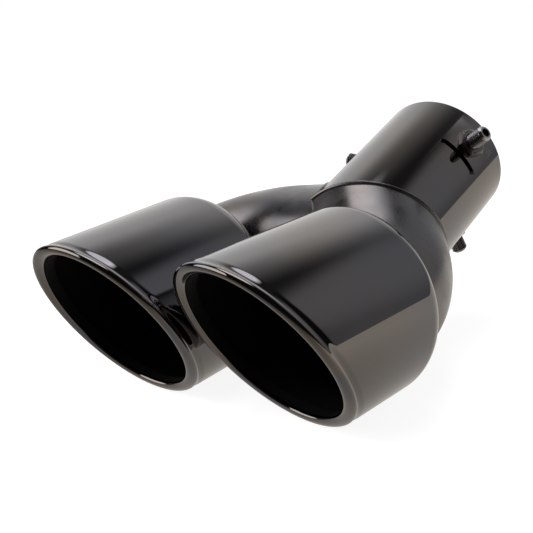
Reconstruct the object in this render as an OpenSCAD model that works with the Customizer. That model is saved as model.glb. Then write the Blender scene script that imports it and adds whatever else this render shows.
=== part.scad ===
// Twin-outlet exhaust tip: a clamp-on inlet sleeve, an elbow and a side branch
// welded to it, and two slant-cut outlet barrels with rolled edges.
// Millimetres. The origin is the centre of the inlet mouth, +Z is up and the
// outlets point towards -Y.

/* [Inlet sleeve] */
// Bore that slips over the tailpipe
inlet_bore = 64; // [58:0.5:68]
// Wall of the sleeve where the tailpipe sits
inlet_wall = 1.5; // [1.2:0.1:2]
// Depth of that seat, from the mouth to the step that stops the tailpipe
seat_len = 52; // [45:1:60]
// Wall of the sleeve behind the seat and of the elbow
pipe_wall = 2; // [1.6:0.1:2.5]
// Length of the sleeve along its axis, from the mouth to the weld
sleeve_len = 77; // [72:1:90]
// How far the sleeve climbs towards its mouth
inlet_tilt = 17; // [10:0.5:22]
// How far the sleeve turns left towards its mouth
inlet_turn = 2.2; // [0:0.1:6]
// Distance of the inlet mouth behind the barrels' shoulders
inlet_back = 121.5; // [116:0.5:140]
// Offset of the inlet mouth to the right of the middle
inlet_side = 25.5; // [20:0.5:30]
// Height of the inlet mouth above the outlet axes
inlet_rise = 38; // [34:0.5:42]

/* [Outlet barrels] */
// Outside diameter of a barrel
barrel_od = 88; // [86:1:96]
// Sheet thickness of a barrel
barrel_wall = 1.2; // [0.8:0.1:1.6]
// Length of a barrel from the middle of its mouth to its shoulder
barrel_len = 60; // [56:1:66]
// Radius of the spun shoulder
shoulder_r = 12; // [9:0.5:14]
// Clear space between the barrels at their closest
barrel_gap = 0.4; // [0.2:0.1:3]
// Angle by which each barrel turns in towards its mouth
toe_in = 2.5; // [0:0.1:4]
// How far the right mouth stands behind the left
mouth_stagger = 1.4; // [0:0.1:4]
// Slant of the mouths, upper edge foremost
mouth_slant = 29.8; // [15:0.1:35]
// Sideways lean of the mouths, right edge foremost
mouth_lean = 5.9; // [0:0.1:8]
// Diameter of the rolled edge
roll_d = 5.6; // [4.4:0.1:7]
// Length of the lip turned back inside the mouth
lip_return = 6; // [3:0.5:10]

/* [Elbow and branch] */
// Bend radius of the elbow's centre line
elbow_bend_r = 38; // [36:1:42]
// Elbow corner: distance outside the right barrel's axis
elbow_out = 8; // [4:0.5:10]
// Elbow corner: distance behind the barrel's shoulder
elbow_behind = 16.5; // [14:0.5:20]
// Elbow corner: distance below the barrel's axis
elbow_below = 6.7; // [4:0.1:9]
// Outside diameter of the left branch
branch_od = 57; // [54:0.5:58]
// Wall of the left branch
branch_wall = 1.5; // [1.2:0.1:2]
// Bend radius of the branch's centre line
branch_bend_r = 40; // [38:1:42]
// Branch corner: distance outside the left barrel's axis
branch_out = 1; // [0:0.5:4]
// Branch corner: distance behind the barrel's shoulder
branch_behind = 41; // [39:0.5:44]
// Branch corner: height above the barrel's axis
branch_above = 9.2; // [6:0.1:11]
// Point on the sleeve's axis where the branch's line starts, from the mouth
branch_start = 80.5; // [79:0.5:83]

/* [Clamp screws] */
// Thread diameter of the clamp screws
screw_d = 8; // [6:1:10]
// Length of a clamp screw
screw_len = 14.5; // [13:0.5:18]
// Distance of the screws from the inlet mouth
screw_back = 18; // [15:0.5:20]
// Angle of the first screw, clockwise from the top seen from the outlets
screw_first = 57; // [40:1:75]
// Angle from one screw to the next
screw_step = 111.5; // [100:0.5:120]
// Width across the flats of the screw's hexagon socket
socket_af = 4; // [3:0.5:5]
// Depth of the hexagon socket
socket_depth = 4.5; // [3:0.5:6]
// Width across the flats of a welded nut
nut_af = 13; // [12:0.5:14]
// Height of a welded nut above its pad
nut_h = 2.6; // [2:0.1:4]
// Radial running clearance of a screw in its nut
screw_clear = 0.05; // [0.02:0.01:0.1]

/* [Pressed pads] */
// Height of a pad above the sleeve
pad_raise = 1.3; // [0.8:0.1:1.4]
// Angle that a pad covers round the sleeve
pad_angle = 35; // [30:1:40]
// Distance of a pad's cut edge from the inlet mouth
pad_end = 27.5; // [26:0.5:32]
// Distance from the inlet mouth at which a pad starts to rise
pad_start = 5; // [3:0.5:6]
// Length of the ramp from the sleeve up to the pad
pad_ramp = 5; // [4:0.5:6]
// Width of the slit behind a pad's cut edge
pad_slit = 1.2; // [0.8:0.1:2]

/* [Hidden] */
$fn = 96;

BLACK_CHROME = [0.22, 0.21, 0.21];
BLACK_STEEL = [0.10, 0.10, 0.10];

LEFT = -1;
RIGHT = 1;
// Larger than any piece, for the blocks that trim pipe ends
TRIM = 300;
// Overrun of a cutter past the face that it cuts
OVER = 1;
// Overlap of the two halves of a mitre where they are cutters
seam_lap = 0.3;

barrel_r = barrel_od / 2;
seat_r = inlet_bore / 2;
pipe_r = seat_r + inlet_wall;
bore_r = pipe_r - pipe_wall;
branch_r = branch_od / 2;
branch_bore_r = branch_r - branch_wall;
slope_up = tan(mouth_slant);
slope_side = tan(mouth_lean);
// Depth of the slant-cut front piece that carries the rolled edge
front_depth = roll_d / 2 + lip_return;
// The barrels are closest where their full diameter begins, behind the rolled edge
barrel_x = (barrel_r + barrel_gap / 2) / cos(toe_in) - roll_d / 2 * sin(toe_in);

function unit(v) = v / norm(v);
function stagger(side) = side == RIGHT ? mouth_stagger : 0;
function mouth_at(side) = [side * barrel_x, stagger(side), 0];
function barrel_back(side) = [side * sin(toe_in), cos(toe_in), 0];
function on_barrel_axis(side, back) = mouth_at(side) + back * barrel_back(side);

inlet_at = [inlet_side, barrel_len + inlet_back, inlet_rise];
inlet_out = [-sin(inlet_turn) * cos(inlet_tilt), cos(inlet_turn) * cos(inlet_tilt), sin(inlet_tilt)];
function on_sleeve_axis(depth) = inlet_at - depth * inlet_out;

seam_at = on_sleeve_axis(sleeve_len);
elbow_corner = on_barrel_axis(RIGHT, barrel_len + elbow_behind) + [elbow_out, 0, -elbow_below];
elbow_target = on_barrel_axis(RIGHT, barrel_len - shoulder_r);
elbow_dir = unit(elbow_corner - seam_at);
seam_normal = unit(elbow_dir - inlet_out);
branch_corner = on_barrel_axis(LEFT, barrel_len + branch_behind) + [-branch_out, 0, branch_above];
branch_target = on_barrel_axis(LEFT, barrel_len - shoulder_r);
// The branch's line starts on the sleeve's axis; its form runs on to the far side
branch_origin = on_sleeve_axis(branch_start);
branch_from = branch_origin + unit(branch_origin - branch_corner) * pipe_r / 3;
// How far elbow and branch reach into their barrels
neck_reach = 2;
// The branch's bend turns on by this many degrees inside its barrel
branch_overrun = 10;

pad_r = pipe_r + pad_raise;
mid_wall_r = seat_r + inlet_wall / 2;
// Radius at which the screws' inner ends wait, flush with the seat
screw_in_r = seat_r;
screw_end_chamfer = screw_d / 8;
nut_corner_r = nut_af / 2 / cos(30);
// Radius at which a nut's top face gives way to the chamfer of its corners
nut_face_r = nut_af * 0.475;

// Everything is laid out from the middle between the outlets, then moved
// so that the inlet mouth is the origin
module from_inlet() {
    translate(-inlet_at) children();
}

// Sleeve frame: X right, Y up, Z from the mouth into the sleeve
module in_sleeve() {
    from_inlet() translate(inlet_at) rotate([90 + inlet_tilt, 0, inlet_turn]) children();
}

// Barrel frame: X right, Y up, Z out of the mouth
module in_barrel(side) {
    from_inlet() translate(mouth_at(side)) rotate([90, 0, -side * toe_in]) children();
}

// Turns +Z to a direction at a point
module aim(at, dir) {
    translate(at) rotate([0, acos(dir.z), atan2(dir.y, dir.x)]) children();
}

// Keeps what lies on the side of a plane that its normal points to
module beyond(at, normal) {
    aim(at, normal) translate([-TRIM / 2, -TRIM / 2, 0]) cube([TRIM, TRIM, TRIM]);
}

module rod(from, to, r) {
    aim(from, unit(to - from)) cylinder(r = r, h = norm(to - from));
}

// Round bar with one bend, as a pipe bender makes it: a straight that starts at
// from, then a bend round the corner towards to, which turns on by overrun degrees
module bent_rod(from, corner, to, bend_r, r, overrun) {
    in_dir = unit(from - corner);
    out_dir = unit(to - corner);
    half = acos(in_dir * out_dir) / 2;
    bend_start = corner + in_dir * bend_r / tan(half);
    centre = corner + unit(in_dir + out_dir) * bend_r / sin(half);
    x = unit(bend_start - centre);
    y = -in_dir;
    z = cross(x, y);
    multmatrix([[x.x, y.x, z.x, centre.x],
                [x.y, y.y, z.y, centre.y],
                [x.z, y.z, z.z, centre.z],
                [0, 0, 0, 1]]) {
        rotate_extrude(angle = 180 - 2 * half + overrun) translate([bend_r, 0]) circle(r = r);
        translate([bend_r, 0, 0]) rotate([90, 0, 0]) cylinder(r = r, h = norm(from - bend_start));
    }
}

// Solid forms of the three pipes, grown by r
module sleeve_form(r) {
    rod(inlet_at, on_sleeve_axis(sleeve_len + pipe_r), r);
}

module elbow_form(r) {
    bent_rod(seam_at - elbow_dir * pipe_r, elbow_corner, elbow_target, elbow_bend_r, r, 0);
}

module branch_form(r) {
    bent_rod(branch_from, branch_corner, branch_target, branch_bend_r, r, branch_overrun);
}

module sleeve_side() {
    beyond(seam_at, -seam_normal);
}

module elbow_side() {
    beyond(seam_at, seam_normal);
}

// What lies outside a barrel, behind its back plate
module behind_barrel(side, depth) {
    beyond(on_barrel_axis(side, depth), barrel_back(side));
}

// Sector of the sleeve turned from a profile of radius and depth
module sleeve_sector(mid, angle, outline) {
    in_sleeve() rotate([0, 0, 90 - mid - angle / 2])
        rotate_extrude(angle = angle) polygon(outline);
}

module at_screw(i, r) {
    in_sleeve() rotate([0, 0, 90 - screw_angle(i)]) translate([r, 0, screw_back])
        rotate([0, 90, 0]) children();
}

function screw_angle(i) = screw_first + i * screw_step;

// Pad with its ramp and side flanks, before its underside is opened.
// The flanks run a little past the cut edge, into the slit's corners.
module pad_block(i) {
    flank = inlet_wall * 180 / (PI * pad_r);
    flank_end = pad_end + pad_slit / 2;
    sleeve_sector(screw_angle(i), pad_angle + 2 * flank,
        [[mid_wall_r, pad_start], [pad_r, pad_start + pad_ramp],
         [pad_r, flank_end], [mid_wall_r, flank_end]]);
}

// Space that pressing the pad out leaves under it, with the slit behind its edge
module pad_pocket(i) {
    sleeve_sector(screw_angle(i), pad_angle,
        [[seat_r - OVER, pad_start], [pad_r - inlet_wall, pad_start + pad_ramp],
         [pad_r - inlet_wall, pad_end], [pad_r + OVER, pad_end],
         [pad_r + OVER, pad_end + pad_slit], [seat_r - OVER, pad_end + pad_slit]]);
}

module inlet_sleeve() {
    color(BLACK_CHROME) difference() {
        union() {
            difference() {
                from_inlet() intersection() {
                    sleeve_form(pipe_r);
                    sleeve_side();
                }
                from_inlet() {
                    rod(inlet_at + inlet_out, on_sleeve_axis(seat_len), seat_r);
                    rod(on_sleeve_axis(seat_len - OVER), on_sleeve_axis(sleeve_len + pipe_r), bore_r);
                }
            }
            for (i = [0:2]) pad_block(i);
        }
        for (i = [0:2]) {
            pad_pocket(i);
            at_screw(i, seat_r) cylinder(d = screw_d + 1, h = pad_raise + inlet_wall + OVER);
        }
        from_inlet() branch_form(branch_bore_r);
    }
}

module right_elbow() {
    color(BLACK_CHROME) from_inlet() difference() {
        intersection() {
            elbow_form(pipe_r);
            elbow_side();
            behind_barrel(RIGHT, barrel_len + shoulder_r - neck_reach);
        }
        elbow_form(bore_r);
        branch_form(branch_bore_r);
    }
}

module left_branch() {
    color(BLACK_CHROME) from_inlet() difference() {
        intersection() {
            branch_form(branch_r);
            behind_barrel(LEFT, barrel_len + shoulder_r - neck_reach);
        }
        branch_form(branch_bore_r);
        intersection() {
            sleeve_form(pipe_r);
            beyond(seam_at + seam_lap * seam_normal, -seam_normal);
        }
        intersection() {
            elbow_form(pipe_r);
            beyond(seam_at - seam_lap * seam_normal, seam_normal);
        }
    }
}

// Half section of a closed barrel with a rounded back, radius r
module barrel_half(r, corner_r, len, front) {
    translate([0, -len]) square([r, len + front]);
    translate([0, -len - corner_r]) square([r - corner_r, corner_r + OVER]);
    translate([r - corner_r, -len]) intersection() {
        circle(r = corner_r);
        translate([0, -corner_r]) square([corner_r, corner_r]);
    }
}

// Shell of a barrel with a spun shoulder, before its mouth is cut
module barrel_shell() {
    rotate_extrude() difference() {
        barrel_half(barrel_r, shoulder_r, barrel_len, barrel_r);
        barrel_half(barrel_r - barrel_wall, shoulder_r - barrel_wall, barrel_len, barrel_r + OVER);
    }
}

// Leans a front end over so that its flat rim follows the slanted mouth.
// A barrel's wall slides along itself and keeps its diameter.
module slanted() {
    multmatrix([[1, 0, 0, 0], [0, 1, 0, 0], [slope_side, slope_up, 1, 0], [0, 0, 0, 1]]) children();
}

// Front end of a barrel: the sheet rolled in and turned back inside
module rolled_front() {
    roll_r = roll_d / 2;
    rotate_extrude() translate([barrel_r - roll_r, -roll_r]) {
        intersection() {
            difference() {
                circle(r = roll_r);
                circle(r = roll_r - barrel_wall);
            }
            translate([-roll_r, 0]) square([roll_d, roll_r]);
        }
        translate([roll_r - barrel_wall, -lip_return]) square([barrel_wall, lip_return]);
        translate([-roll_r, -lip_return]) square([barrel_wall, lip_return]);
    }
}

module barrel(side) {
    color(BLACK_CHROME) {
        difference() {
            in_barrel(side) difference() {
                barrel_shell();
                aim([0, 0, -front_depth], unit([-slope_side, -slope_up, 1]))
                    translate([-TRIM / 2, -TRIM / 2, 0]) cube([TRIM, TRIM, TRIM]);
            }
            from_inlet() if (side == RIGHT) elbow_form(pipe_r); else branch_form(branch_r);
        }
        in_barrel(side) slanted() rolled_front();
    }
}

module right_barrel() {
    barrel(RIGHT);
}

module left_barrel() {
    barrel(LEFT);
}

// Welded hexagon nut, seated on the curved pad with two flats across the sleeve's axis
module nut(i) {
    top = pad_r - seat_r + nut_h;
    color(BLACK_STEEL) difference() {
        at_screw(i, seat_r) intersection() {
            rotate([0, 0, 30]) cylinder(r = nut_corner_r, h = top, $fn = 6);
            rotate_extrude()
                polygon([[0, 0], [nut_corner_r + OVER, 0],
                         [nut_corner_r + OVER, top - (nut_corner_r + OVER - nut_face_r) * tan(30)],
                         [nut_face_r, top], [0, top]]);
        }
        in_sleeve() cylinder(r = pad_r, h = pad_end);
        at_screw(i, seat_r) cylinder(r = screw_d / 2 + screw_clear, h = pad_raise + inlet_wall + nut_h + OVER);
    }
}

module front_nut() {
    nut(0);
}

module lower_nut() {
    nut(1);
}

module left_nut() {
    nut(2);
}

// Headless clamp screw with a hexagon socket in its outer end
module clamp_screw(i) {
    c = screw_end_chamfer;
    r = screw_d / 2;
    color(BLACK_STEEL) at_screw(i, screw_in_r) difference() {
        rotate_extrude()
            polygon([[0, 0], [r - c, 0], [r, c], [r, screw_len - c], [r - c, screw_len], [0, screw_len]]);
        translate([0, 0, screw_len - socket_depth])
            cylinder(r = socket_af / 2 / cos(30), h = socket_depth + OVER, $fn = 6);
    }
}

module front_screw() {
    clamp_screw(0);
}

module lower_screw() {
    clamp_screw(1);
}

module left_screw() {
    clamp_screw(2);
}

inlet_sleeve();
right_elbow();
left_branch();
right_barrel();
left_barrel();
front_nut();
lower_nut();
left_nut();
front_screw();
lower_screw();
left_screw();
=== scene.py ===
# Twin-outlet exhaust tip in black chrome, shown alone in a plain white studio.
import math

import bpy
from mathutils import Matrix, Vector


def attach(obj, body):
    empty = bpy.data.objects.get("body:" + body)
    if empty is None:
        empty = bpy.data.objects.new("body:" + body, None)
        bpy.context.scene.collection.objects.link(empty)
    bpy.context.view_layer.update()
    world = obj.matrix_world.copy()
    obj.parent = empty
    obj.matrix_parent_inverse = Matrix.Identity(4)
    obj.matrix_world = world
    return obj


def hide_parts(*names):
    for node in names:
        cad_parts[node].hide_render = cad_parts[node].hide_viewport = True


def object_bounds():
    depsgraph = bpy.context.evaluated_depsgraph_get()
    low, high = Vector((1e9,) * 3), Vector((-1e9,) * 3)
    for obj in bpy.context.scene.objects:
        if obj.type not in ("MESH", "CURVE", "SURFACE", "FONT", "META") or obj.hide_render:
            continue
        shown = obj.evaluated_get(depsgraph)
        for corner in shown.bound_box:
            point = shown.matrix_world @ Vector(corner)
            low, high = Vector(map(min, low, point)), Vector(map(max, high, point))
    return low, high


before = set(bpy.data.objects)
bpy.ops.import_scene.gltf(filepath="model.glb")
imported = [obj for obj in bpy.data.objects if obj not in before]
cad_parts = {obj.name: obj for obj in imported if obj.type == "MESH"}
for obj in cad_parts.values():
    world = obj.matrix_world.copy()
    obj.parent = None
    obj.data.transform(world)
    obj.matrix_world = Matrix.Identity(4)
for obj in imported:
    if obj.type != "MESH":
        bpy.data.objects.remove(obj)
cad_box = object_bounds()

MM = 0.001


# Inlet sleeve. A straight piece of stainless tube that slips over the tailpipe
# as far as a step in its bore. Three pads are pressed out of its sheet, each
# cut free along its inner edge, and its far end is mitred to the elbow.
PIPE_R = 33.5 * MM
SEAT_R = 32 * MM
PIPE_BORE_R = 31.5 * MM
SEAT_LEN = 52 * MM
SLEEVE_LEN = 77 * MM
SLEEVE_WALL = 1.5 * MM
RIM_INSIDE = 0.4 * MM
RIM_OUTSIDE = 1.5 * RIM_INSIDE
INLET_TILT = math.radians(17)
INLET_TURN = math.radians(2.2)
ELBOW_CORNER = Vector((29.957, -103.673, -44.7)) * MM
SCREW_BACK = 18 * MM
SCREW_ANGLES = [57, 168.5, 280]
SCREW_HOLE_R = 4.5 * MM
PAD_RAISE = 1.3 * MM
PAD_ANGLE = math.radians(35)
PAD_END = 27.5 * MM
PAD_START = 5 * MM
PAD_RAMP = 5 * MM
PAD_SLIT = 1.2 * MM
# Lip of the slit's edge, which runs on under the pad and keeps the slit dark, with painted shade
# on its top
LIP_UNDER = 1.4 * MM
LIP_THICK = 0.3 * MM
PAD_R = PIPE_R + PAD_RAISE
# The screw hole's cutting bar runs between these distances from the axis
HOLE_FROM = 28 * MM
HOLE_TO = 38 * MM
# The hole in its side is the bore of the branch
BRANCH_R = 28.5 * MM
BRANCH_WALL = 1.5 * MM
BRANCH_BEND_R = 40 * MM
BRANCH_START = 80.5 * MM
BRANCH_CORNER = Vector((-75.026, -80.596, -28.8)) * MM
BRANCH_TARGET = Vector((-71.714, -133.546, -38.0)) * MM
BRANCH_OVERRUN = math.radians(10)
# Fineness of round forms, and the angle from which an edge stays crisp
TUBE_SIDES = 160
BEND_STEPS = 72
SPIN_STEPS = 256
CREASE = math.radians(32)
# Points this close together are merged
MERGE = 0.002 * MM
# Tolerance in telling whether a point lies at a known place
NEAR = 0.01 * MM

# Black chrome is a mirror coat over polished stainless. It is nearly black face
# on, pale at a slant, and varies faintly towards blue, violet and bronze.
CHROME_PLAIN = (0.176, 0.164, 0.156, 1)
CHROME_BLUE = (0.158, 0.154, 0.164, 1)
CHROME_BRONZE = (0.190, 0.163, 0.146, 1)
# Near-black painted shade for insides, holes and slits, at two levels in soft patches
SHADE_DARK = (0.002, 0.002, 0.002, 1)
SHADE_PALE = (0.007, 0.0065, 0.006, 1)


def plated_sheet_group():
    """Tint, roughness and slight waviness of a plated and hand-polished sheet"""
    group = bpy.data.node_groups.new("plated_sheet", "ShaderNodeTree")
    for name, value in (("Tint Size", 18), ("Tint Spread", 0.15), ("Haze", 0.05),
                        ("Wave Height", 0.02)):
        socket = group.interface.new_socket(name, in_out="INPUT", socket_type="NodeSocketFloat")
        socket.default_value = value
    for name, kind in (("Tint", "NodeSocketColor"), ("Roughness", "NodeSocketFloat"),
                       ("Normal", "NodeSocketVector")):
        group.interface.new_socket(name, in_out="OUTPUT", socket_type=kind)
    n, link = group.nodes, group.links.new
    given, result = n.new("NodeGroupInput"), n.new("NodeGroupOutput")
    place = n.new("ShaderNodeTexCoord")

    patches = n.new("ShaderNodeTexNoise")
    patches.inputs["Detail"].default_value = 1.5
    link(place.outputs["Object"], patches.inputs["Vector"])
    link(given.outputs["Tint Size"], patches.inputs["Scale"])
    low = n.new("ShaderNodeMath")
    low.operation = "SUBTRACT"
    low.inputs[0].default_value = 0.5
    link(given.outputs["Tint Spread"], low.inputs[1])
    high = n.new("ShaderNodeMath")
    high.inputs[0].default_value = 0.5
    link(given.outputs["Tint Spread"], high.inputs[1])
    spread = n.new("ShaderNodeMapRange")
    link(patches.outputs["Fac"], spread.inputs["Value"])
    link(low.outputs["Value"], spread.inputs["From Min"])
    link(high.outputs["Value"], spread.inputs["From Max"])
    shades = n.new("ShaderNodeValToRGB")
    shades.color_ramp.elements[0].color = CHROME_BLUE
    shades.color_ramp.elements[1].color = CHROME_BRONZE
    shades.color_ramp.elements.new(0.5).color = CHROME_PLAIN
    link(spread.outputs["Result"], shades.inputs["Fac"])
    link(shades.outputs["Color"], result.inputs["Tint"])

    smear = n.new("ShaderNodeTexNoise")
    smear.inputs["Scale"].default_value = 55
    smear.inputs["Detail"].default_value = 5
    link(place.outputs["Object"], smear.inputs["Vector"])
    haze = n.new("ShaderNodeMath")
    haze.operation = "MULTIPLY"
    link(smear.outputs["Fac"], haze.inputs[0])
    link(given.outputs["Haze"], haze.inputs[1])
    link(haze.outputs["Value"], result.inputs["Roughness"])

    swell = n.new("ShaderNodeTexNoise")
    swell.inputs["Scale"].default_value = 30
    swell.inputs["Detail"].default_value = 0
    link(place.outputs["Object"], swell.inputs["Vector"])
    bump = n.new("ShaderNodeBump")
    bump.inputs["Distance"].default_value = MM
    link(given.outputs["Wave Height"], bump.inputs["Strength"])
    link(swell.outputs["Fac"], bump.inputs["Height"])
    link(bump.outputs["Normal"], result.inputs["Normal"])
    return group


plated_sheet = plated_sheet_group()


def black_chrome(name, tint_size, tint_spread, haze, wave):
    """Chrome finish of one kind of piece, from the plated sheet"""
    material = bpy.data.materials.new(name)
    material.use_nodes = True
    n, link = material.node_tree.nodes, material.node_tree.links.new
    skin = n["Principled BSDF"]
    skin.inputs["Metallic"].default_value = 1
    coat = n.new("ShaderNodeGroup")
    coat.node_tree = plated_sheet
    coat.inputs["Tint Size"].default_value = tint_size
    coat.inputs["Tint Spread"].default_value = tint_spread
    coat.inputs["Haze"].default_value = haze
    coat.inputs["Wave Height"].default_value = wave
    link(coat.outputs["Tint"], skin.inputs["Base Color"])
    link(coat.outputs["Roughness"], skin.inputs["Roughness"])
    link(coat.outputs["Normal"], skin.inputs["Normal"])
    return material


def painted_shade_material(name):
    """Dull near-black of the unplated insides: painted shade for hollows, holes and slits, varied
    in soft noise patches
    """
    material = bpy.data.materials.new(name)
    material.use_nodes = True
    n, link = material.node_tree.nodes, material.node_tree.links.new
    skin = n["Principled BSDF"]
    skin.inputs["Specular IOR Level"].default_value = 0.2
    place = n.new("ShaderNodeTexCoord")
    patches = n.new("ShaderNodeTexNoise")
    patches.inputs["Scale"].default_value = 60
    patches.inputs["Detail"].default_value = 6
    link(place.outputs["Object"], patches.inputs["Vector"])
    shades = n.new("ShaderNodeValToRGB")
    shades.color_ramp.elements[0].color = SHADE_DARK
    shades.color_ramp.elements[1].color = SHADE_PALE
    link(patches.outputs["Fac"], shades.inputs["Fac"])
    link(shades.outputs["Color"], skin.inputs["Base Color"])
    dull = n.new("ShaderNodeMapRange")
    dull.inputs["To Min"].default_value = 0.5
    dull.inputs["To Max"].default_value = 0.75
    link(patches.outputs["Fac"], dull.inputs["Value"])
    link(dull.outputs["Result"], skin.inputs["Roughness"])
    return material


pipe_chrome = black_chrome("black_chrome_pipes", 16, 0.2, 0.08, 0.02)
painted_shade_black = painted_shade_material("painted_shade_black")


def set_down():
    """Leaves edit mode with nothing selected"""
    if bpy.context.mode != "OBJECT":
        bpy.ops.object.mode_set(mode="OBJECT")
    bpy.ops.object.select_all(action="DESELECT")


def take_up(piece):
    """Makes a piece the only one selected and the active one"""
    set_down()
    bpy.context.view_layer.objects.active = piece
    piece.select_set(True)


def named(name):
    """Names the piece just made"""
    piece = bpy.context.object
    piece.name = piece.data.name = name
    return piece


def close_up():
    """Merges doubles, closes open ends and turns all faces outwards, in edit mode"""
    bpy.ops.mesh.select_all(action="SELECT")
    bpy.ops.mesh.remove_doubles(threshold=MERGE)
    bpy.ops.mesh.select_all(action="DESELECT")
    bpy.ops.mesh.select_non_manifold(extend=False)
    bpy.ops.mesh.fill_holes(sides=0)
    bpy.ops.mesh.select_all(action="SELECT")
    bpy.ops.mesh.normals_make_consistent(inside=False)


def turned(name, outline, steps, angle=math.tau, first=0.0):
    """Spins an outline of radius and height round Z, as on a spinning lathe"""
    set_down()
    bpy.ops.mesh.primitive_plane_add(size=MM)
    piece = named(name)
    bpy.ops.object.mode_set(mode="EDIT")
    bpy.ops.mesh.select_all(action="SELECT")
    bpy.ops.mesh.merge(type="CENTER")
    bpy.ops.transform.translate(value=(outline[0][0], 0, outline[0][1]))
    for (r0, z0), (r1, z1) in zip(outline, outline[1:]):
        bpy.ops.mesh.extrude_vertices_move(TRANSFORM_OT_translate={"value": (r1 - r0, 0, z1 - z0)})
    bpy.ops.mesh.select_all(action="SELECT")
    bpy.ops.mesh.spin(steps=steps, angle=-angle, center=(0, 0, 0), axis=(0, 0, 1))
    close_up()
    set_down()
    piece.data.transform(Matrix.Rotation(first, 4, "Z"))
    return piece


def arc(radius, height, r, start, end, parts):
    """Points of an arc in an outline, angles in degrees from outwards to up"""
    angles = [math.radians(start + (end - start) * i / parts) for i in range(parts + 1)]
    return [(radius + r * math.cos(a), height + r * math.sin(a)) for a in angles]


def round_bar(name, start, end, r):
    set_down()
    bpy.ops.mesh.primitive_cylinder_add(vertices=TUBE_SIDES, radius=r, depth=(end - start).length)
    piece = named(name)
    turn = (end - start).to_track_quat("Z", "Y").to_matrix().to_4x4()
    piece.data.transform(Matrix.Translation((start + end) / 2) @ turn)
    return piece


def block_beyond(at, normal):
    """Large block that starts at a plane and lies where its normal points"""
    size = 300 * MM
    set_down()
    bpy.ops.mesh.primitive_cube_add(size=size)
    piece = named("block")
    turn = normal.to_track_quat("Z", "Y").to_matrix().to_4x4()
    piece.data.transform(Matrix.Translation(at) @ turn @ Matrix.Translation((0, 0, size / 2)))
    return piece


def bend(start, corner, target, bend_r):
    """Frame at a bend's centre, length of the straight before it, and its turn"""
    back = (start - corner).normalized()
    on = (target - corner).normalized()
    half = back.angle(on) / 2
    bend_start = corner + back * bend_r / math.tan(half)
    centre = corner + (back + on).normalized() * bend_r / math.sin(half)
    x = (bend_start - centre).normalized()
    y = -back
    z = x.cross(y)
    place = Matrix((x, y, z)).transposed().to_4x4()
    place.translation = centre
    return place, (start - bend_start).length, math.pi - 2 * half


def bent_tube(name, path, bend_r, r, overrun=0.0):
    """Round bar along a straight and a bend, closed at both ends"""
    place, straight, turn = path
    set_down()
    bpy.ops.mesh.primitive_circle_add(vertices=TUBE_SIDES, radius=r, fill_type="NOTHING",
                                      location=(bend_r, 0, 0), rotation=(math.radians(90), 0, 0))
    piece = named(name)
    bpy.ops.object.transform_apply(location=True, rotation=True, scale=True)
    bpy.ops.object.mode_set(mode="EDIT")
    bpy.ops.mesh.select_all(action="SELECT")
    bpy.ops.mesh.extrude_region_move(TRANSFORM_OT_translate={"value": (0, -MM, 0)})
    bpy.ops.mesh.extrude_region_move(TRANSFORM_OT_translate={"value": (0, MM - straight, 0)})
    bpy.ops.object.mode_set(mode="OBJECT")
    for v in piece.data.vertices:
        v.select = abs(v.co.y) < NEAR
    for e in piece.data.edges:
        e.select = all(piece.data.vertices[i].select for i in e.vertices)
    bpy.ops.object.mode_set(mode="EDIT")
    bpy.ops.mesh.select_mode(type="EDGE")
    bpy.ops.mesh.spin(steps=BEND_STEPS, angle=-turn - overrun, center=(0, 0, 0), axis=(0, 0, 1))
    bpy.ops.mesh.select_mode(type="VERT")
    close_up()
    set_down()
    piece.data.transform(place)
    return piece


def plate(piece, chrome):
    """Gives a piece its outer finish and the painted shade of its insides, or a cutting form the
    slots to match
    """
    piece.data.materials.clear()
    piece.data.materials.append(chrome)
    piece.data.materials.append(painted_shade_black)


def leaves_painted_shade(form):
    """A form whose cuts leave the painted shade of the insides"""
    plate(form, pipe_chrome)
    for face in form.data.polygons:
        face.material_index = 1


def cut(piece, form, operation="DIFFERENCE"):
    """Cuts a form out of a piece, or joins it on, and leaves the form"""
    take_up(piece)
    tool = piece.modifiers.new("cut", "BOOLEAN")
    tool.operation = operation
    tool.solver = "EXACT"
    tool.object = form
    bpy.ops.object.modifier_apply(modifier=tool.name)


def clear_away(*forms):
    for form in forms:
        bpy.data.objects.remove(form)


def finish(piece, body, *nodes):
    """Smooth shading with crisp edges, and the body and nodes that it stands for"""
    take_up(piece)
    bpy.ops.object.shade_smooth_by_angle(angle=CREASE)
    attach(piece, body)
    if nodes:
        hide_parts(*nodes)


def on_sleeve(screw_angle):
    """Turn about the sleeve's axis that brings +X to a screw"""
    return math.radians(90 - screw_angle)


sleeve_frame = (Matrix.Rotation(INLET_TURN, 4, "Z")
                @ Matrix.Rotation(math.radians(90) + INLET_TILT, 4, "X"))
into_sleeve = sleeve_frame.to_3x3() @ Vector((0, 0, 1))
seam = into_sleeve * SLEEVE_LEN
elbow_dir = (ELBOW_CORNER - seam).normalized()
seam_normal = (elbow_dir + into_sleeve).normalized()
branch_origin = into_sleeve * BRANCH_START
branch_from = branch_origin - (BRANCH_CORNER - branch_origin).normalized() * PIPE_R / 3
branch_path = bend(branch_from, BRANCH_CORNER, BRANCH_TARGET, BRANCH_BEND_R)
branch_bore = bent_tube("branch_bore", branch_path, BRANCH_BEND_R, BRANCH_R - BRANCH_WALL,
                        BRANCH_OVERRUN)
# The bore's cut faces get painted shade
leaves_painted_shade(branch_bore)

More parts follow.
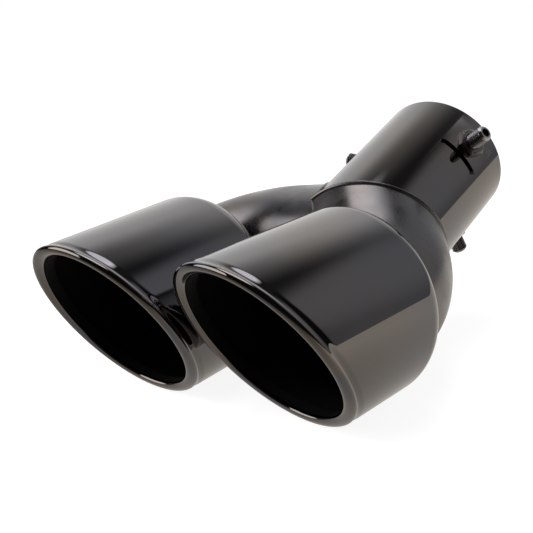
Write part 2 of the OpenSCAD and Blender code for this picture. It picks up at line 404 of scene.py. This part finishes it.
# The tube starts longer than the sleeve, and the mitre cuts it off
tube_end = SLEEVE_LEN + PIPE_R
sleeve = turned("sleeve_skin", [(SEAT_R, RIM_INSIDE), (SEAT_R + RIM_INSIDE, 0),
                                (PIPE_R - RIM_OUTSIDE, 0)]
                + arc(PIPE_R - RIM_OUTSIDE, RIM_OUTSIDE, RIM_OUTSIDE, -75, 0, 5)
                + [(PIPE_R, 2 * RIM_OUTSIDE), (PIPE_R, tube_end), (PIPE_BORE_R, tube_end),
                   (PIPE_BORE_R, SEAT_LEN), (SEAT_R, SEAT_LEN), (SEAT_R, RIM_INSIDE)], SPIN_STEPS)
plate(sleeve, pipe_chrome)
# Faces looking into the bore get painted shade
for face in sleeve.data.polygons:
    outward = face.normal.to_2d().dot(face.center.to_2d().normalized())
    face.material_index = 1 if outward < -0.9 else 0
middle = SEAT_R + SLEEVE_WALL / 2
flank = SLEEVE_WALL / PAD_R
for angle in SCREW_ANGLES:
    width = PAD_ANGLE + 2 * flank
    pad_stop = PAD_END + PAD_SLIT / 2
    pad = turned("pad", [(middle, PAD_START), (PAD_R, PAD_START + PAD_RAMP), (PAD_R, pad_stop),
                         (middle, pad_stop), (middle, PAD_START)],
                 32, width, on_sleeve(angle) - width / 2)
    plate(pad, pipe_chrome)
    cut(sleeve, pad, "UNION")
    clear_away(pad)
for angle in SCREW_ANGLES:
    under, slit_end = PAD_R - SLEEVE_WALL, PAD_END + PAD_SLIT
    lip_top, lip_end = SEAT_R + LIP_THICK, PAD_END - LIP_UNDER
    pocket = turned("pocket", [(SEAT_R - MM, PAD_START), (under, PAD_START + PAD_RAMP),
                               (under, PAD_END), (PAD_R + MM, PAD_END), (PAD_R + MM, slit_end),
                               (lip_top, slit_end), (lip_top, lip_end), (SEAT_R - MM, lip_end),
                               (SEAT_R - MM, PAD_START)],
                    30, PAD_ANGLE, on_sleeve(angle) - PAD_ANGLE / 2)
    leaves_painted_shade(pocket)
    # Cut faces under the pad and on the lip get painted shade; the slit's walls stay chrome
    for face in pocket.data.polygons:
        if abs(face.normal.z) > 0.9:
            face.material_index = 0
    out = Vector((math.cos(on_sleeve(angle)), math.sin(on_sleeve(angle)), 0))
    level = Vector((0, 0, SCREW_BACK))
    hole = round_bar("hole", level + out * HOLE_FROM, level + out * HOLE_TO, SCREW_HOLE_R)
    # The hole's walls get painted shade
    leaves_painted_shade(hole)
    cut(sleeve, pocket)
    cut(sleeve, hole)
    clear_away(pocket, hole)
sleeve.data.transform(sleeve_frame)
past_seam = block_beyond(seam, seam_normal)
cut(sleeve, past_seam)
cut(sleeve, branch_bore)
clear_away(past_seam)
finish(sleeve, "tip", "inlet_sleeve")


# Elbow. A bent tube that carries the sleeve on, down and to the right, and ends
# just inside the right barrel. It is mitred to the sleeve and has the other
# half of the branch's hole.
ELBOW_BEND_R = 38 * MM
ELBOW_TARGET = Vector((20.714, -132.146, -38.0)) * MM
NECK_DEPTH = 70 * MM
RIGHT_MOUTH = Vector((18.62, -180.1, -38.0)) * MM
LEFT_MOUTH = Vector((-69.62, -181.5, -38.0)) * MM
TOE_IN = math.radians(2.5)

# Bent tubes are polished less brightly than straight ones
bend_chrome = black_chrome("black_chrome_bends", 20, 0.2, 0.62, 0.02)


def barrel_frame(mouth, side):
    """Barrel's own frame: Z out of the mouth, X to the right"""
    upright = Matrix.Rotation(math.radians(90), 4, "X")
    return Matrix.Translation(mouth) @ Matrix.Rotation(-side * TOE_IN, 4, "Z") @ upright


def inside_barrel(mouth, side):
    """Block that takes off what reaches too far into a barrel"""
    place = barrel_frame(mouth, side)
    return block_beyond(place @ Vector((0, 0, -NECK_DEPTH)), place.to_3x3() @ Vector((0, 0, 1)))


elbow_path = bend(seam - elbow_dir * PIPE_R, ELBOW_CORNER, ELBOW_TARGET, ELBOW_BEND_R)
elbow_outside = bent_tube("elbow_outside", elbow_path, ELBOW_BEND_R, PIPE_R)
elbow_bore = bent_tube("elbow_bore", elbow_path, ELBOW_BEND_R, PIPE_BORE_R)
# The bore's cut faces get painted shade
leaves_painted_shade(elbow_bore)
before_seam = block_beyond(seam, -seam_normal)
in_right_barrel = inside_barrel(RIGHT_MOUTH, 1)
elbow = bent_tube("elbow_skin", elbow_path, ELBOW_BEND_R, PIPE_R)
plate(elbow, bend_chrome)
for form in (before_seam, in_right_barrel, elbow_bore, branch_bore):
    cut(elbow, form)
clear_away(before_seam, in_right_barrel, elbow_bore)
finish(elbow, "tip", "right_elbow")


# Left branch. A smaller bent tube that crosses from the side of sleeve and
# elbow to the left barrel. Its near end is cut to their rounded form.
branch = bent_tube("branch_skin", branch_path, BRANCH_BEND_R, BRANCH_R, BRANCH_OVERRUN)
plate(branch, bend_chrome)
# The two forms that stand for the mitred pipe overlap a little at its seam
lap = seam_normal * 0.3 * MM
sleeve_outside = round_bar("sleeve_outside", Vector((0, 0, 0)), into_sleeve * tube_end, PIPE_R)
elbow_end = bent_tube("elbow_end", elbow_path, ELBOW_BEND_R, PIPE_R)
after_seam = block_beyond(seam + lap, seam_normal)
before_seam = block_beyond(seam - lap, -seam_normal)
in_left_barrel = inside_barrel(LEFT_MOUTH, -1)
cut(sleeve_outside, after_seam)
cut(elbow_end, before_seam)
for form in (in_left_barrel, sleeve_outside, elbow_end, branch_bore):
    cut(branch, form)
clear_away(after_seam, before_seam, in_left_barrel, branch_bore, sleeve_outside, elbow_end)
finish(branch, "tip", "left_branch")


# Outlet barrels. Each is one piece of stainless sheet spun to a rounded back,
# cut at a slant in front and rolled inwards there to a thick bright rim.
# The back has a hole for its pipe; the inside is dull, painted near-black as shade.
BARREL_R = 44 * MM
BARREL_WALL = 1.2 * MM
BARREL_LEN = 60 * MM
SHOULDER_R = 12 * MM
ROLL_R = 2.8 * MM
LIP_RETURN = 6 * MM
# Shallow neck that rolling leaves in the wall right behind the rim
NECK_DIP = 0.42 * MM
NECK_AT = 1.6 * MM
NECK_FADE = 5.5 * MM
MOUTH_SLANT = math.radians(29.8)
MOUTH_LEAN = math.radians(5.9)

barrel_chrome = black_chrome("black_chrome_barrels", 14, 0.2, 0.06, 0.02)
rim_chrome = black_chrome("black_chrome_rims", 45, 0.06, 0.12, 0.0)


def barrel(name, mouth, side, pipe):
    """Barrel at a mouth, on one side, with a hole where its pipe comes in"""
    flat = BARREL_R - SHOULDER_R
    back = -BARREL_LEN - SHOULDER_R
    rolled = BARREL_R - ROLL_R
    hem = ROLL_R - BARREL_WALL
    beside_arc = 0.6 * MM
    outer = [(0, back), (flat / 2, back), (flat - beside_arc, back)]
    outer += arc(flat, -BARREL_LEN, SHOULDER_R, -90, 0, 24)
    outer += [(BARREL_R, -BARREL_LEN + beside_arc)]
    lip = []
    for start, stop, steps in ((NECK_FADE, NECK_AT, 8), (NECK_AT, 0, 8)):
        for i in range(steps):
            eased = (1 - math.cos(math.pi * i / steps)) / 2
            dip = eased if start == NECK_FADE else 1 - eased
            lip += [(BARREL_R - NECK_DIP * dip, -ROLL_R - start + (start - stop) * i / steps)]
    lip += arc(rolled, -ROLL_R, ROLL_R, 0, 180, 28)
    lip += [(rolled - ROLL_R, -ROLL_R - LIP_RETURN), (rolled - hem, -ROLL_R - LIP_RETURN)]
    lip += arc(rolled, -ROLL_R, hem, 180, 0, 12)
    inner = arc(flat, -BARREL_LEN, SHOULDER_R - BARREL_WALL, 0, -90, 16)
    inner += [(0, back + BARREL_WALL)]
    piece = turned(name, outer + lip + inner, SPIN_STEPS)
    plate(piece, barrel_chrome)
    piece.data.materials.append(rim_chrome)
    for face in piece.data.polygons:
        out, height = face.center.to_2d().length, face.center.z
        outward = face.normal.to_2d().dot(face.center.to_2d().normalized())
        on_roll = height > -ROLL_R and math.hypot(out - rolled, height + ROLL_R) > ROLL_R * 0.9
        in_wall = height > back + BARREL_WALL / 2
        on_back = face.normal.z > 0.2 and out < BARREL_R - BARREL_WALL / 2
        # The roll gets rim chrome; inward faces and the inside of the back get painted shade
        if on_roll:
            face.material_index = 2
        elif in_wall and (outward < -0.1 or on_back):
            face.material_index = 1
        else:
            face.material_index = 0

    # The front leans over with the slanted mouth; the wall only gets longer
    for v in piece.data.vertices:
        if v.co.z > -ROLL_R - LIP_RETURN - 0.1 * MM:
            v.co.z += v.co.x * math.tan(MOUTH_LEAN) + v.co.y * math.tan(MOUTH_SLANT)
    piece.data.transform(barrel_frame(mouth, side))
    cut(piece, pipe)
    return piece


right_barrel = barrel("right_barrel_skin", RIGHT_MOUTH, 1, elbow_outside)
finish(right_barrel, "tip", "right_barrel")
branch_outside = bent_tube("branch_outside", branch_path, BRANCH_BEND_R, BRANCH_R,
                           BRANCH_OVERRUN)
left_barrel = barrel("left_barrel_skin", LEFT_MOUTH, -1, branch_outside)
finish(left_barrel, "tip", "left_barrel")
clear_away(elbow_outside, branch_outside)


# Clamp nuts. Three hexagon nuts, each welded to its pad with two flats across
# the sleeve, steel with a black finish.
NUT_AF = 13 * MM
NUT_H = 2.6 * MM
NUT_FACE_R = 0.475 * NUT_AF
NUT_EASE = 0.1 * MM
# Half of what a hexagon's side spans, and the slope of the nut's chamfer
HALF_SIDE = math.radians(30)
TAP_CHAMFER = 0.35 * MM
TAP_PAST = 0.2 * MM
SCREW_R = 4 * MM
SCREW_CLEAR = 0.05 * MM

nut_black = black_chrome("black_steel_nuts", 60, 0.15, 0.55, 0.0)


def ease_edges(piece, width):
    """Takes the sharpness off a piece's edges"""
    take_up(piece)
    ease = piece.modifiers.new("ease", "BEVEL")
    ease.width = width
    ease.segments = 2
    ease.limit_method = "ANGLE"
    ease.angle_limit = math.radians(25)
    bpy.ops.object.modifier_apply(modifier=ease.name)


def screw_seat(angle):
    """Frame at a screw's inner end: Z outwards, X towards the inlet mouth"""
    outwards = Matrix.Rotation(math.radians(90), 4, "Y")
    at_seat = Matrix.Translation((SEAT_R, 0, SCREW_BACK)) @ outwards
    return Matrix.Rotation(on_sleeve(angle), 4, "Z") @ at_seat


nut_top = PAD_R - SEAT_R + NUT_H
nut_corner = NUT_AF / 2 / math.cos(HALF_SIDE)
pad_form = round_bar("pad_form", Vector((0, 0, 0)), Vector((0, 0, PAD_END)), PAD_R)
for which, angle in zip(("front", "lower", "left"), SCREW_ANGLES):
    set_down()
    bpy.ops.mesh.primitive_cylinder_add(vertices=6, radius=nut_corner, depth=nut_top,
                                        location=(0, 0, nut_top / 2))
    nut = named(which + "_nut_hexagon")
    bpy.ops.object.transform_apply(location=True, rotation=True, scale=True)
    nut.data.materials.append(nut_black)
    wide, hole = nut_corner + MM, SCREW_R + SCREW_CLEAR
    cone_edge = nut_top - (wide - NUT_FACE_R) * math.tan(HALF_SIDE)
    cone = turned("cone", [(0, -MM), (wide, -MM), (wide, cone_edge), (NUT_FACE_R, nut_top),
                           (0, nut_top)], 96)
    tap_top = nut_top + TAP_PAST
    tap = turned("tap", [(0, -MM), (hole, -MM), (hole, nut_top - TAP_CHAMFER),
                         (hole + TAP_CHAMFER + TAP_PAST, tap_top), (0, tap_top)], 96)
    cut(nut, cone, "INTERSECT")
    cut(nut, tap)
    nut.data.transform(screw_seat(angle))
    cut(nut, pad_form)
    ease_edges(nut, NUT_EASE)
    nut.data.transform(sleeve_frame)
    clear_away(cone, tap)
    finish(nut, "tip", which + "_nut")
clear_away(pad_form)


# Clamp screws. Headless M8 screws with a hexagon socket run through the nuts
# and bear on the tailpipe. They are steel with a thin dark finish, worn to
# bright metal on the outer end.
SCREW_LEN = 14.5 * MM
SCREW_CHAMFER = 1 * MM
THREAD_PITCH = 1.25 * MM
THREAD_DEPTH = 0.68 * MM
THREAD_FADE = 0.6 * MM
FLANK_STEEP = 1.3
CREST_FLAT = 0.12
SOCKET_AF = 4 * MM
SOCKET_DEPTH = 4.5 * MM
STEEL_DARK = (0.11, 0.11, 0.115, 1)
STEEL_WORN = (0.46, 0.44, 0.41, 1)
WEAR_OUTER_END = 1.0
WEAR_INNER_END = 0.3
WEAR_GROOVE = 0.15
WEAR_CREST = 0.25
WEAR_EDGE = 0.6


def screw_steel():
    """Dark steel that is worn bright on edges and high spots"""
    material = bpy.data.materials.new("dark_steel_screws")
    material.use_nodes = True
    n, link = material.node_tree.nodes, material.node_tree.links.new
    skin = n["Principled BSDF"]
    skin.inputs["Metallic"].default_value = 1
    wear = n.new("ShaderNodeAttribute")
    wear.attribute_name = "wear"
    place = n.new("ShaderNodeTexCoord")
    rubbed = n.new("ShaderNodeTexNoise")
    rubbed.inputs["Scale"].default_value = 700
    rubbed.inputs["Detail"].default_value = 4
    link(place.outputs["Object"], rubbed.inputs["Vector"])
    uneven = n.new("ShaderNodeMapRange")
    uneven.inputs["From Min"].default_value = 0.3
    uneven.inputs["From Max"].default_value = 0.6
    uneven.inputs["To Min"].default_value = 0.35
    link(rubbed.outputs["Fac"], uneven.inputs["Value"])
    amount = n.new("ShaderNodeMath")
    amount.operation = "MULTIPLY"
    link(wear.outputs["Fac"], amount.inputs[0])
    link(uneven.outputs["Result"], amount.inputs[1])
    shades = n.new("ShaderNodeMix")
    shades.data_type = "RGBA"
    shades.inputs["A"].default_value = STEEL_DARK
    shades.inputs["B"].default_value = STEEL_WORN
    link(amount.outputs["Value"], shades.inputs["Factor"])
    link(shades.outputs["Result"], skin.inputs["Base Color"])
    dull = n.new("ShaderNodeMapRange")
    dull.inputs["To Min"].default_value = 0.18
    dull.inputs["To Max"].default_value = 0.42
    link(rubbed.outputs["Fac"], dull.inputs["Value"])
    link(dull.outputs["Result"], skin.inputs["Roughness"])
    return material


dark_steel = screw_steel()
for which, angle in zip(("front", "lower", "left"), SCREW_ANGLES):
    c, rows = SCREW_CHAMFER, 100
    outline = [(0, 0), (SCREW_R - c, 0)]
    outline += [(SCREW_R, c + (SCREW_LEN - 2 * c) * i / rows) for i in range(rows + 1)]
    outline += [(SCREW_R - c, SCREW_LEN), (SOCKET_AF * 0.6, SCREW_LEN), (0, SCREW_LEN)]
    screw = turned(which + "_screw_bar", outline, 72)
    screw.data.materials.append(dark_steel)
    wear = screw.data.attributes.new("wear", "FLOAT", "POINT")
    for v in screw.data.vertices:
        out, z = v.co.to_2d().length, v.co.z
        if out < SCREW_R - NEAR:
            at_outer_end = z > SCREW_LEN - 0.1 * MM
            wear.data[v.index].value = WEAR_OUTER_END if at_outer_end else WEAR_INNER_END
            continue
        # The thread's flank comes and goes once a pitch and climbs once a turn
        turn = (z / THREAD_PITCH - math.atan2(v.co.y, v.co.x) / math.tau) % 1
        groove = min(1, max(0, (0.5 - abs(turn - 0.5)) * 2 * FLANK_STEEP - CREST_FLAT))
        full = min(1, max(0, min(z - c, SCREW_LEN - c - z) / THREAD_FADE))
        v.co.xy *= 1 - THREAD_DEPTH * groove * full / SCREW_R
        edge_wear = WEAR_EDGE * (1 - full) * (z > c * 2)
        wear.data[v.index].value = WEAR_GROOVE + edge_wear + WEAR_CREST * (1 - groove)
    set_down()
    bpy.ops.mesh.primitive_cylinder_add(vertices=6, radius=SOCKET_AF / 2 / math.cos(HALF_SIDE),
                                        depth=SOCKET_DEPTH * 2, location=(0, 0, SCREW_LEN),
                                        rotation=(0, 0, HALF_SIDE))
    socket = named("socket")
    bpy.ops.object.transform_apply(location=True, rotation=True, scale=True)
    # The socket's walls get painted shade
    leaves_painted_shade(socket)
    screw.data.materials.append(painted_shade_black)
    cut(screw, socket)
    clear_away(socket)
    screw.data.transform(sleeve_frame @ screw_seat(angle))
    finish(screw, which + "_clamp_screw", which + "_screw")


# Weld beads run round every joint between sleeve, elbow, branch and barrels.
# They are laid before plating, so they carry the same black chrome.
BEAD_R = 1 * MM
BEAD_RIPPLE = 2 * MM
RIPPLE_POINTS = 6
RIPPLE_SHARE = 0.012
SLOW_SHARE = 0.04
LINE_POINTS = 240
HALVINGS = 24
# The branch's side meets the main pipe between these lengths along its path
BRANCH_CLEAR = 52 * MM
BRANCH_INSIDE = 16 * MM
# Turns of the bends that are surely inside the barrels, in radians
ELBOW_INSIDE = 1.24
BRANCH_BEND_INSIDE = 1.7

weld_chrome = black_chrome("black_chrome_welds", 60, 0.12, 0.7, 0.02)


def along(path, bend_r, s):
    """Point and cross directions at a length along a straight and its bend"""
    place, straight, _ = path
    if s < straight:
        point, x = Vector((bend_r, s - straight, 0)), Vector((1, 0, 0))
    else:
        a = (s - straight) / bend_r
        x = Vector((math.cos(a), math.sin(a), 0))
        point = x * bend_r
    turned_to = place.to_3x3()
    return place @ point, turned_to @ x, turned_to @ Vector((0, 0, 1))


def meeting_line(path, bend_r, r, low, high, inside):
    """Where a tube's surface passes into another form, between two lengths"""
    line = []
    for i in range(LINE_POINTS):
        a = math.tau * i / LINE_POINTS
        s0, s1 = low, high
        for _ in range(HALVINGS):
            s = (s0 + s1) / 2
            at, x, z = along(path, bend_r, s)
            if inside(at + (x * math.cos(a) + z * math.sin(a)) * r):
                s1 = s
            else:
                s0 = s
        at, x, z = along(path, bend_r, (s0 + s1) / 2)
        line.append(at + (x * math.cos(a) + z * math.sin(a)) * r)
    return line


def bead(name, line):
    """Weld bead along a closed line, with a ripple for each step of the torch"""
    points = line + line[:1]
    walk = [(b - a).length for a, b in zip(points, points[1:])]
    length = sum(walk)
    total = round(length / BEAD_RIPPLE) * RIPPLE_POINTS
    curve = bpy.data.curves.new(name, "CURVE")
    curve.dimensions = "3D"
    curve.bevel_depth = BEAD_R
    curve.bevel_resolution = 3
    spline = curve.splines.new("POLY")
    spline.use_cyclic_u = True
    spline.points.add(total - 1)
    i, done = 0, 0.0
    for k in range(total):
        s = length * k / total
        while done + walk[i] < s and i < len(walk) - 1:
            done += walk[i]
            i += 1
        share = min(1, max(0, (s - done) / max(walk[i], 1e-9)))
        spline.points[k].co = (*points[i].lerp(points[i + 1], share), 1)
        ripple = math.cos(math.tau * k / RIPPLE_POINTS)
        slow = math.sin(math.tau * 5 * k / total) + math.sin(math.tau * 13 * k / total + 1)
        spline.points[k].radius = 1 + RIPPLE_SHARE * ripple + SLOW_SHARE * slow
    piece = bpy.data.objects.new(name, curve)
    bpy.context.scene.collection.objects.link(piece)
    take_up(piece)
    bpy.ops.object.convert(target="MESH")
    piece = bpy.context.object
    piece.data.materials.append(weld_chrome)
    finish(piece, "tip")


def in_main(p):
    """True inside the mitred pipe of sleeve and elbow"""
    if (p - seam).dot(seam_normal) < 0:
        return (p - into_sleeve * p.dot(into_sleeve)).length < PIPE_R
    q = elbow_path[0].inverted() @ p
    if q.y < 0:
        return Vector((q.x - ELBOW_BEND_R, 0, q.z)).length < PIPE_R
    return Vector((q.to_2d().length - ELBOW_BEND_R, 0, q.z)).length < PIPE_R


def in_barrel(mouth, side):
    """Test for what is inside a barrel's outer form"""
    place = barrel_frame(mouth, side).inverted()

    def inside(p):
        q = place @ p
        r, z = q.to_2d().length, q.z
        flat = BARREL_R - SHOULDER_R
        if z < -BARREL_LEN:
            if r < flat:
                return z > -BARREL_LEN - SHOULDER_R
            return math.hypot(r - flat, z + BARREL_LEN) < SHOULDER_R
        return r < BARREL_R
    return inside


mitre = []
for i in range(LINE_POINTS):
    a = math.tau * i / LINE_POINTS
    rim = sleeve_frame.to_3x3() @ Vector((math.cos(a), math.sin(a), 0)) * PIPE_R
    reach = (seam - rim).dot(seam_normal) / into_sleeve.dot(seam_normal)
    mitre.append(rim + into_sleeve * reach)
bead("sleeve_weld", mitre)
bead("branch_weld", meeting_line(branch_path, BRANCH_BEND_R, BRANCH_R,
                                 BRANCH_CLEAR, BRANCH_INSIDE, in_main))
elbow_straight, branch_straight = elbow_path[1], branch_path[1]
bead("right_neck_weld", meeting_line(elbow_path, ELBOW_BEND_R, PIPE_R,
                                     elbow_straight, elbow_straight + ELBOW_BEND_R * ELBOW_INSIDE,
                                     in_barrel(RIGHT_MOUTH, 1)))
bead("left_neck_weld", meeting_line(branch_path, BRANCH_BEND_R, BRANCH_R, branch_straight,
                                    branch_straight + BRANCH_BEND_R * BRANCH_BEND_INSIDE,
                                    in_barrel(LEFT_MOUTH, -1)))


# Studio, as a photographer sets one up for dark chrome: a white floor and a
# white surround, a dark hood that only reflections see, open behind the tip,
# and two soft lamps, one overhead and one in front to the left.
HOOD_R = 0.8
HOOD_DARK = 0.015
HOOD_SIDE = 0.24
HOOD_SHEEN = 0.14
HOOD_LAMP_REFLECTION = 3.0
SHEEN_COLOUR = (0.90, 0.92, 1.0, 1)
# Where the hood opens and how far its grey side reaches, in degrees as seen
# from the floor under the tip: bearings from +X towards +Y, and heights
OPEN_RIGHT = (68, 106)
OPEN_LEFT = (148, 174)
OPEN_TOP = (40, 65)
OPEN_OVER_TOP = 0.12
SIDE_START = (20, 36)
SIDE_TOP = (43, 56)
SIDE_OVER_TOP = 0.03
# Soft glowing patches, a painted sheen and a painted reflection of the overhead lamp: bearing,
# height, outer and inner radius, and brightness
SHEEN_PATCH = (52, 28, 27, 3, HOOD_SHEEN)
LAMP_REFLECTION_PATCH = (132, 81, 22, 15, HOOD_LAMP_REFLECTION)
FLOOR_R = 12
FLOOR_SEEN = 0.88
FLOOR_MIRRORED = (1.0, 0.95, 0.88, 1)
# Painted shade on the mirrored floor: it brightens between two places in Y, from a low to a high
# level, dark in front of the tip
FLOOR_MIRROR_SHADE = (-0.45, 0.05, 0.02, 0.8)
SURROUND_LIT = 0.3
SURROUND_SEEN = 1.0

floor_level = cad_box[0].z - 0.2 * MM
middle_of_tip = Vector((-0.02, -0.1, -0.03))


def floor_white():
    """White that keeps a faint shadow of what stands on it. A mirror shows it a warm grey, with
    painted shade that darkens it in front of the tip."""
    material = bpy.data.materials.new("floor_white")
    material.use_nodes = True
    n, link = material.node_tree.nodes, material.node_tree.links.new
    paint = n["Principled BSDF"]
    paint.inputs["Base Color"].default_value = (0.4, 0.4, 0.4, 1)
    paint.inputs["Roughness"].default_value = 0.9
    paint.inputs["Specular IOR Level"].default_value = 0
    ray = n.new("ShaderNodeLightPath")
    bright = n.new("ShaderNodeMath")
    bright.operation = "MULTIPLY"
    bright.inputs[1].default_value = FLOOR_SEEN
    link(ray.outputs["Is Camera Ray"], bright.inputs[0])
    light = n.new("ShaderNodeEmission")
    link(bright.outputs["Value"], light.inputs["Strength"])
    both = n.new("ShaderNodeAddShader")
    link(paint.outputs["BSDF"], both.inputs[0])
    link(light.outputs["Emission"], both.inputs[1])
    place = n.new("ShaderNodeTexCoord")
    split = n.new("ShaderNodeSeparateXYZ")
    link(place.outputs["Object"], split.inputs["Vector"])
    # Painted shade: the floor as mirrors show it darkens in front of the tip
    painted_front_shade = n.new("ShaderNodeMapRange")
    painted_front_shade.interpolation_type = "SMOOTHSTEP"
    for name, value in zip(("From Min", "From Max", "To Min", "To Max"), FLOOR_MIRROR_SHADE):
        painted_front_shade.inputs[name].default_value = value
    link(split.outputs["Y"], painted_front_shade.inputs["Value"])
    mirrored = n.new("ShaderNodeEmission")
    mirrored.inputs["Color"].default_value = FLOOR_MIRRORED
    link(painted_front_shade.outputs["Result"], mirrored.inputs["Strength"])
    choice = n.new("ShaderNodeMixShader")
    link(ray.outputs["Is Glossy Ray"], choice.inputs["Fac"])
    link(both.outputs["Shader"], choice.inputs[1])
    link(mirrored.outputs["Emission"], choice.inputs[2])
    link(choice.outputs["Shader"], n["Material Output"].inputs["Surface"])
    return material


set_down()
bpy.ops.mesh.primitive_circle_add(vertices=96, radius=FLOOR_R, fill_type="NGON",
                                  location=(0, 0, floor_level))
floor = named("studio_floor")
floor.data.materials.append(floor_white())


def direction(bearing, height):
    """Unit vector from a bearing and a height in degrees"""
    bearing, height = math.radians(bearing), math.radians(height)
    across = math.cos(height)
    return Vector((across * math.cos(bearing), across * math.sin(bearing), math.sin(height)))


def hood_material(centre):
    """Glowing dark cloth for mirrors only: open behind the tip, greyer to its right, with a
    painted sheen and a painted reflection of the overhead lamp
    """
    material = bpy.data.materials.new("hood_dark")
    material.use_nodes = True
    n, link = material.node_tree.nodes, material.node_tree.links.new
    n.remove(n["Principled BSDF"])

    def eased(source, start, end, low, high):
        ramp = n.new("ShaderNodeMapRange")
        ramp.interpolation_type = "SMOOTHSTEP"
        span = (start, end, low, high)
        for name, value in zip(("From Min", "From Max", "To Min", "To Max"), span):
            ramp.inputs[name].default_value = value
        link(source, ramp.inputs["Value"])
        return ramp.outputs["Result"]

    def times(a, b):
        product = n.new("ShaderNodeMath")
        product.operation = "MULTIPLY"
        link(a, product.inputs[0])
        link(b, product.inputs[1])
        return product.outputs["Value"]

    def plus(a, b):
        total = n.new("ShaderNodeMath")
        link(a, total.inputs[0])
        if isinstance(b, float):
            total.inputs[1].default_value = b
        else:
            link(b, total.inputs[1])
        return total.outputs["Value"]

    place = n.new("ShaderNodeTexCoord")
    centred = n.new("ShaderNodeMapping")
    centred.inputs["Location"].default_value = -centre
    link(place.outputs["Object"], centred.inputs["Vector"])
    towards = n.new("ShaderNodeVectorMath")
    towards.operation = "NORMALIZE"
    link(centred.outputs["Vector"], towards.inputs[0])
    split = n.new("ShaderNodeSeparateXYZ")
    link(towards.outputs["Vector"], split.inputs["Vector"])
    bearing = n.new("ShaderNodeMath")
    bearing.operation = "ARCTAN2"
    link(split.outputs["Y"], bearing.inputs[0])
    link(split.outputs["X"], bearing.inputs[1])

    def across(span, low, high):
        """Change over a span of bearings"""
        start, end = (math.radians(a) for a in span)
        return eased(bearing.outputs["Value"], start, end, low, high)

    def upwards(span, low, high):
        """Change over a span of heights"""
        start, end = (math.sin(math.radians(a)) for a in span)
        return eased(split.outputs["Z"], start, end, low, high)

    def round_patch(at, height, outer, inner, level):
        aim = n.new("ShaderNodeVectorMath")
        aim.operation = "DOT_PRODUCT"
        aim.inputs[1].default_value = direction(at, height)
        link(towards.outputs["Vector"], aim.inputs[0])
        start, end = (math.cos(math.radians(a)) for a in (outer, inner))
        return eased(aim.outputs["Value"], start, end, 0, level)

    sides_open = times(across(OPEN_RIGHT, 0, 1), across(OPEN_LEFT, 1, 0))
    opening = times(sides_open, upwards(OPEN_TOP, 1, OPEN_OVER_TOP))
    side = times(across(SIDE_START, 0, 1), upwards(SIDE_TOP, HOOD_SIDE, SIDE_OVER_TOP))
    # Painted sheen and painted reflection of the overhead lamp
    patches = plus(round_patch(*SHEEN_PATCH), round_patch(*LAMP_REFLECTION_PATCH))
    strength = plus(plus(patches, side), HOOD_DARK)
    cloth = n.new("ShaderNodeEmission")
    cloth.inputs["Color"].default_value = SHEEN_COLOUR
    link(strength, cloth.inputs["Strength"])
    clear = n.new("ShaderNodeBsdfTransparent")
    mix = n.new("ShaderNodeMixShader")
    link(opening, mix.inputs["Fac"])
    link(cloth.outputs["Emission"], mix.inputs[1])
    link(clear.outputs["BSDF"], mix.inputs[2])
    link(mix.outputs["Shader"], n["Material Output"].inputs["Surface"])
    return material


hood_centre = Vector((middle_of_tip.x, middle_of_tip.y, floor_level))
set_down()
bpy.ops.mesh.primitive_uv_sphere_add(segments=96, ring_count=48, radius=HOOD_R)
hood = named("studio_hood")
hood.data.transform(Matrix.Translation(hood_centre))
bpy.ops.object.mode_set(mode="EDIT")
bpy.ops.mesh.select_all(action="SELECT")
bpy.ops.mesh.bisect(plane_co=hood_centre, plane_no=(0, 0, 1), clear_inner=True)
set_down()
hood.data.materials.append(hood_material(hood_centre))
hood.visible_camera = False
hood.visible_diffuse = False
hood.visible_transmission = False
hood.visible_shadow = False

world = bpy.data.worlds.new("studio_surround")
bpy.context.scene.world = world
world.use_nodes = True
n, link = world.node_tree.nodes, world.node_tree.links.new
surround = n["Background"]
surround.inputs["Color"].default_value = (1, 1, 1, 1)
level = n.new("ShaderNodeMapRange")
level.inputs["To Min"].default_value = SURROUND_LIT
level.inputs["To Max"].default_value = SURROUND_SEEN
ray = n.new("ShaderNodeLightPath")
either = n.new("ShaderNodeMath")
either.operation = "MAXIMUM"
link(ray.outputs["Is Camera Ray"], either.inputs[0])
link(ray.outputs["Is Glossy Ray"], either.inputs[1])
link(either.outputs["Value"], level.inputs["Value"])
link(level.outputs["Result"], surround.inputs["Strength"])


def soft_lamp(name, bearing, height, distance, width, tall, power):
    """Soft box that faces the tip from a bearing and height in degrees"""
    towards = direction(bearing, height)
    light = bpy.data.lights.new(name, "AREA")
    light.shape = "RECTANGLE"
    light.size, light.size_y = width, tall
    light.energy = power
    lamp = bpy.data.objects.new(name, light)
    bpy.context.scene.collection.objects.link(lamp)
    place = Matrix.Translation(middle_of_tip + towards * distance)
    lamp.matrix_world = place @ towards.to_track_quat("Z", "Y").to_matrix().to_4x4()
    lamp.visible_camera = False
    return lamp


# Mirrors don't see the overhead lamp; the hood's glowing patch is its painted reflection
overhead = soft_lamp("overhead_lamp", bearing=132, height=78, distance=0.66,
                     width=0.46, tall=0.46, power=2.2)
overhead.visible_glossy = False
soft_lamp("front_lamp", bearing=-134, height=24, distance=0.7, width=0.55, tall=0.85, power=3.6)


# Camera at the photograph's place and angle
camera = bpy.data.cameras.new("camera")
camera.lens = 70.31
camera.sensor_width = 36
camera.clip_start = 0.01
eye = bpy.data.objects.new("camera", camera)
bpy.context.scene.collection.objects.link(eye)
pose = Matrix((Vector((0.76245, 0.63517, -0.12334)), Vector((-0.09370, 0.29699, 0.95027)),
               Vector((0.64022, -0.71298, 0.28596)))).transposed().to_4x4()
pose.translation = Vector((287.27, -468.38, 114.33)) * MM
eye.matrix_world = pose
bpy.context.scene.camera = eye

bpy.context.scene.view_settings.view_transform = "Standard"
